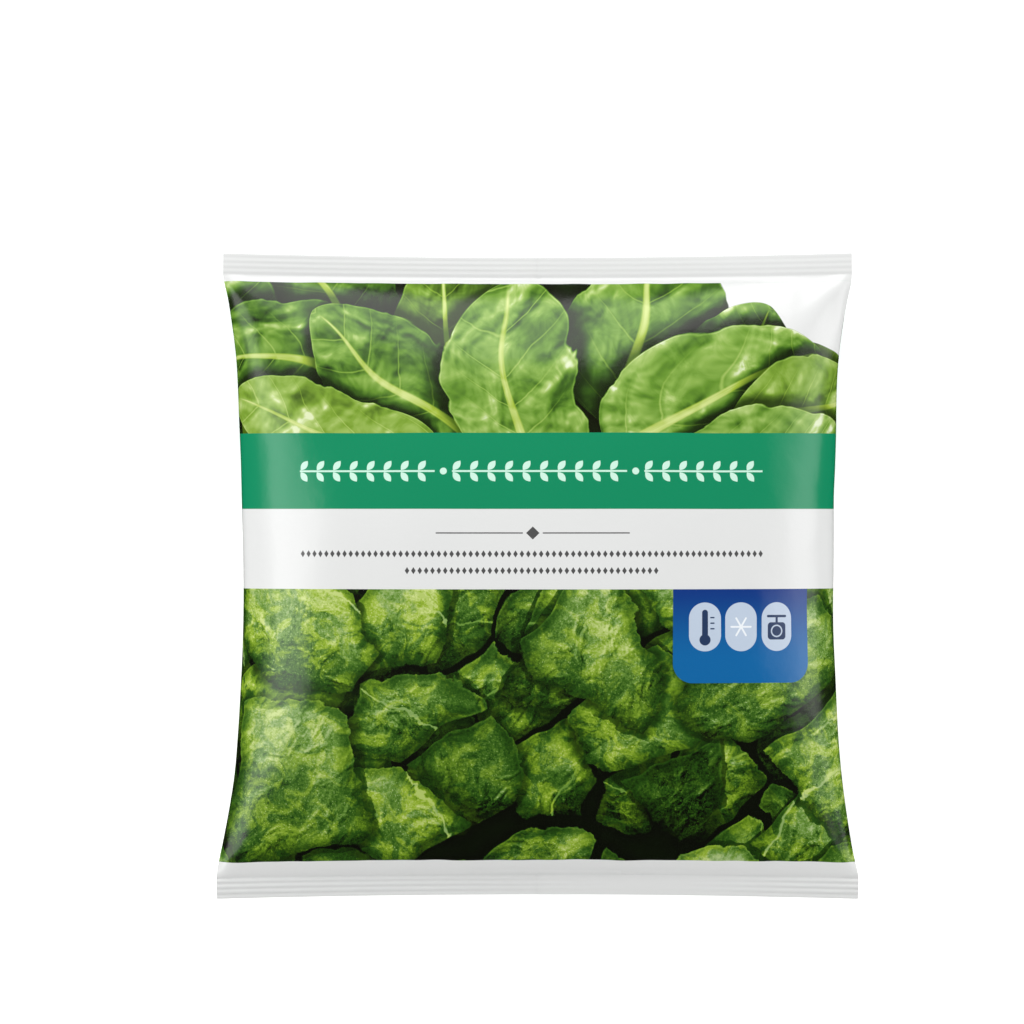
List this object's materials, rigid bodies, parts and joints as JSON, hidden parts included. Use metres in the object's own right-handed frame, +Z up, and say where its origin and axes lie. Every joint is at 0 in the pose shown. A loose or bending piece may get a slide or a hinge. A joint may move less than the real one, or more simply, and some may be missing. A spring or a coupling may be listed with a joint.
{
  "type": "frozen chard bag",
  "caption": "Sealed pillow bag of printed plastic film, lying on its back, filled with loose frozen portions of chopped leaf.",
  "frame": {"origin": "under the middle of the bag, on the surface that it lies on", "axes": "+Z up out of the bag's printed front, +Y towards its top end seal, +X to the right as its front is read"},
  "size_m": [0.2102, 0.2116, 0.0532],
  "materials": {
    "printed_film": "thin printed film, satin to glossy",
    "frozen_chard": "frozen chopped leaf under a thin frost"
  },
  "bodies": {
    "root": {"film_bag": "printed_film", "chard_portion_01": "frozen_chard", "chard_portion_02": "frozen_chard", "chard_portion_03": "frozen_chard", "chard_portion_04": "frozen_chard", "chard_portion_05": "frozen_chard", "chard_portion_06": "frozen_chard", "chard_portion_07": "frozen_chard", "chard_portion_08": "frozen_chard", "chard_portion_09": "frozen_chard", "chard_portion_10": "frozen_chard", "chard_portion_11": "frozen_chard", "chard_portion_12": "frozen_chard", "chard_portion_13": "frozen_chard", "chard_portion_14": "frozen_chard", "chard_portion_15": "frozen_chard", "chard_portion_16": "frozen_chard", "chard_portion_17": "frozen_chard", "chard_portion_18": "frozen_chard", "chard_portion_19": "frozen_chard", "chard_portion_20": "frozen_chard", "chard_portion_21": "frozen_chard", "chard_portion_22": "frozen_chard", "chard_portion_23": "frozen_chard", "chard_portion_24": "frozen_chard", "chard_portion_25": "frozen_chard"}
  },
  "joints": []
}
